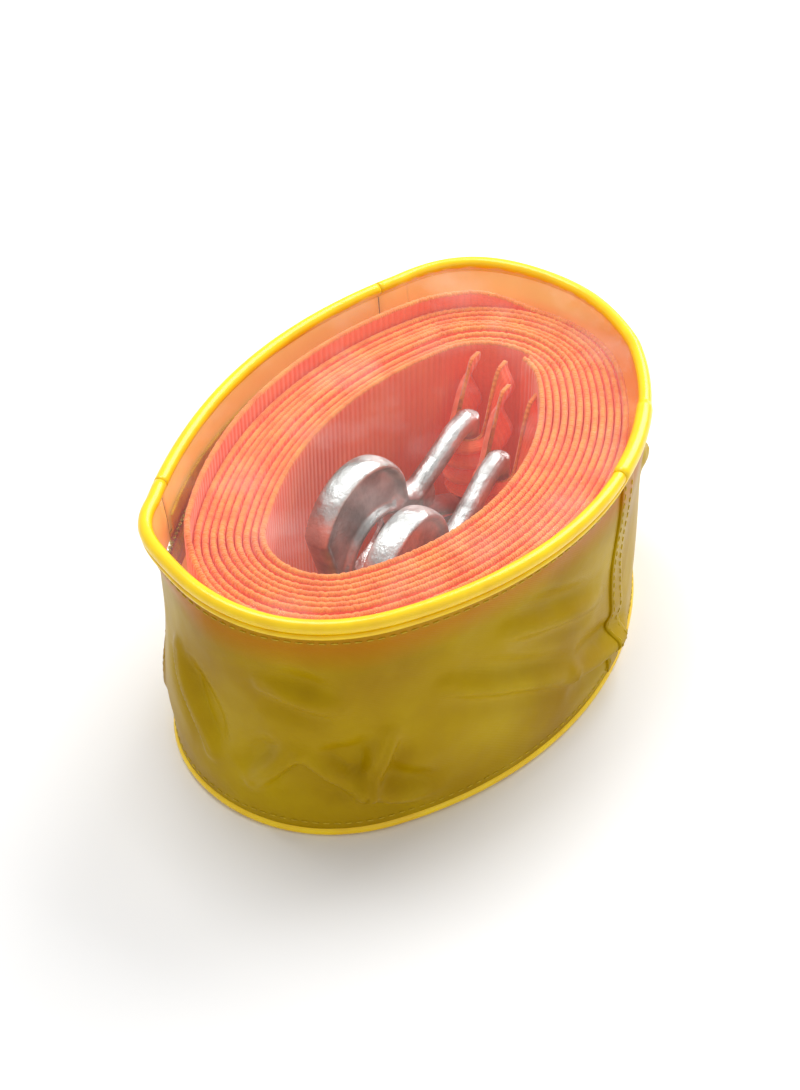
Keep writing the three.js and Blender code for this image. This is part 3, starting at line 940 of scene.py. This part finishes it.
def teeth(name, start, end, z, shift, node, body):
    """A row of moulded teeth on its cord."""
    cord_z = z + math.copysign(0.35, z - ZIP_Z)
    parts = [tube([(*outline(a, ROW_INSET), cord_z) for a in np.linspace(start, end, 90)], 0.5, 8)]
    for a in np.arange(start + shift, end - 0.3, TOOTH_STEP):
        x, y = outline(a, ROW_INSET)
        t = math.radians(a)
        along = np.array([-math.sin(t), math.cos(t), 0])
        out = radial(a)
        block = []
        for sx in (-0.45, 0.45):
            for sy in (-0.8, 0.8):
                for sz in (-0.5, 0.5):
                    block.append(np.array([x, y, z]) + sx * along + sy * out + np.array([0, 0, sz]))
        faces = [(0, 1, 3, 2), (4, 6, 7, 5), (0, 4, 5, 1), (2, 3, 7, 6), (0, 2, 6, 4), (1, 5, 7, 3)]
        parts.append((block, faces))
    obj = mesh_object(name, *gather(parts), smooth=False)
    bevel = obj.modifiers.new("Edge", "BEVEL")
    bevel.width = 0.00012
    bevel.segments = 1
    settle(obj)
    place(obj, body, "zip_metal", [node], BRASS_FINISH)


def make_zip():
    """The tapes and teeth, and the metal parts taken from the CAD model."""
    fixed = (90 - ZIP_END + ROW_END, 90 + ZIP_END - ROW_END)
    free = (90 - FLAP_END, 90 + FLAP_END)
    tape("tape_lower", *fixed, -1, "zip_tape_lower", "pouch")
    tape("tape_upper", *free, 1, "zip_tape_upper", "flap")
    teeth("teeth_lower", *fixed, ZIP_Z - TOOTH_RISE, TOOTH_STEP / 2, "zip_teeth_lower", "pouch")
    teeth("teeth_upper", *free, ZIP_Z + TOOTH_RISE, 0.0, "zip_teeth_upper", "flap")
    for side in ("right", "left"):
        refined(f"zip_stop_{side}", f"stop_{side}", "zip_metal", "pouch", BRASS_FINISH, 0.2)
    refined("zip_slider", "slider_body", "zip_metal", "slider", BRASS_FINISH, 0.25)
    refined("zip_pull_tab", "pull_tab_plate", "zip_metal", "pull_tab", BRASS_FINISH, 0.2)


# Stage, camera and light, in metres, watts and degrees.
FLOOR_SIZE = 6
WORLD_STRENGTH = 0.6
LIGHTS = (  # name, place, power, size
    ("key", (0.75, -0.05, 0.75), 8.5, 0.7),
    ("fill", (-0.3, -0.9, 0.5), 0.6, 0.8),
    ("top", (0.1, 0.3, 1.0), 5.0, 0.5),
)
LIGHT_AIM = (0, 0, 0.05)
CAMERA_AZIMUTH = -59.2
CAMERA_ELEVATION = 40
CAMERA_DISTANCE = 0.66
CAMERA_AIM = (0, 0, 0.04425)
SENSOR_MM = 36
FRAME_HEIGHT = 1090  # the photograph's, in pixels
FOCAL_PIXELS = 2000
SHIFT_PIXELS = (-18, -11)


def make_stage():
    """A pale floor under soft light."""
    bpy.ops.mesh.primitive_plane_add(size=FLOOR_SIZE)
    floor = bpy.context.object
    floor.name = "floor"
    finish = Finish("floor_finish", 0.9)
    finish.shader.inputs["Base Color"].default_value = (0.9, 0.9, 0.9, 1)
    floor.data.materials.append(finish.material)
    world = bpy.data.worlds.new("studio")
    world.use_nodes = True
    world.node_tree.nodes["Background"].inputs[0].default_value = (1, 1, 1, 1)
    world.node_tree.nodes["Background"].inputs[1].default_value = WORLD_STRENGTH
    bpy.context.scene.world = world
    for name, place_m, energy, size in LIGHTS:
        data = bpy.data.lights.new(name, "AREA")
        data.energy = energy
        data.size = size
        lamp = bpy.data.objects.new(name, data)
        lamp.location = place_m
        aim = Vector(LIGHT_AIM) - Vector(place_m)
        lamp.rotation_euler = aim.to_track_quat("-Z", "Y").to_euler()
        bpy.context.scene.collection.objects.link(lamp)


def make_camera():
    """The photograph's viewing angle, lens and framing."""
    azimuth, elevation = math.radians(CAMERA_AZIMUTH), math.radians(CAMERA_ELEVATION)
    back = Vector((
        math.sin(azimuth) * math.cos(elevation),
        -math.cos(azimuth) * math.cos(elevation),
        math.sin(elevation),
    ))
    data = bpy.data.cameras.new("camera")
    data.sensor_width = SENSOR_MM
    data.lens = SENSOR_MM * FOCAL_PIXELS / FRAME_HEIGHT
    data.shift_x = SHIFT_PIXELS[0] / FRAME_HEIGHT
    data.shift_y = SHIFT_PIXELS[1] / FRAME_HEIGHT
    data.clip_start = 0.01
    camera = bpy.data.objects.new("camera", data)
    camera.location = Vector(CAMERA_AIM) + CAMERA_DISTANCE * back
    camera.rotation_euler = (-back).to_track_quat("-Z", "Y").to_euler()
    bpy.context.scene.collection.objects.link(camera)
    bpy.context.scene.camera = camera
    bpy.context.scene.view_settings.view_transform = "Standard"


make_camera()
make_stage()
make_pouch()
make_seams()
make_film()
make_strap()
make_end_loop(1, 75)
make_end_loop(2, 73)
make_hook(1, -6)
make_hook(2, 0)
make_zip()
